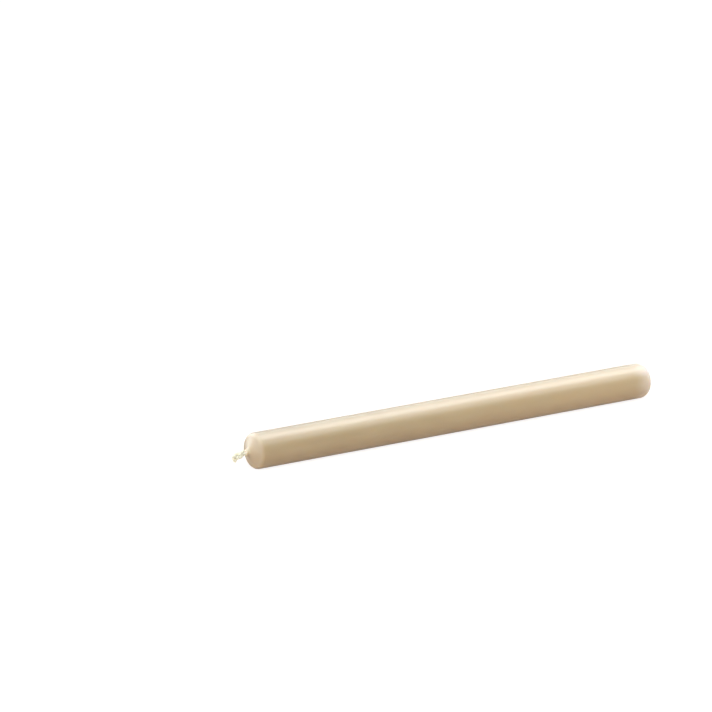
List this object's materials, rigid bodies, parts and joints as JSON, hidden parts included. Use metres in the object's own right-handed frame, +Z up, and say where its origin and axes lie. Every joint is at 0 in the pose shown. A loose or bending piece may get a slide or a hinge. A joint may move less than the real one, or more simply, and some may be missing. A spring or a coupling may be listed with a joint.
{
  "type": "taper candle",
  "caption": "Straight-sided dinner candle with a low conical head, a rounded butt end and a plaited cotton wick; its butt end stands in a candle holder's cup.",
  "frame": {"origin": "centre of the flat butt face, on the candle's axis", "axes": "+X along the candle's axis, out of the butt end; the head and wick are at -X; +Z up, with the candle lying on its side, its lowest line at Z = -11 mm"},
  "size_m": [0.3103, 0.022, 0.022],
  "materials": {
    "wax": "through-coloured sand beige candle wax, smooth and semi-gloss, slightly translucent",
    "wick_cotton": "plaited raw cotton, cream white, soaked with wax inside the candle and loose at its cut end"
  },
  "bodies": {
    "root": {"wax_body": "wax", "wick": "wick_cotton"}
  },
  "joints": []
}
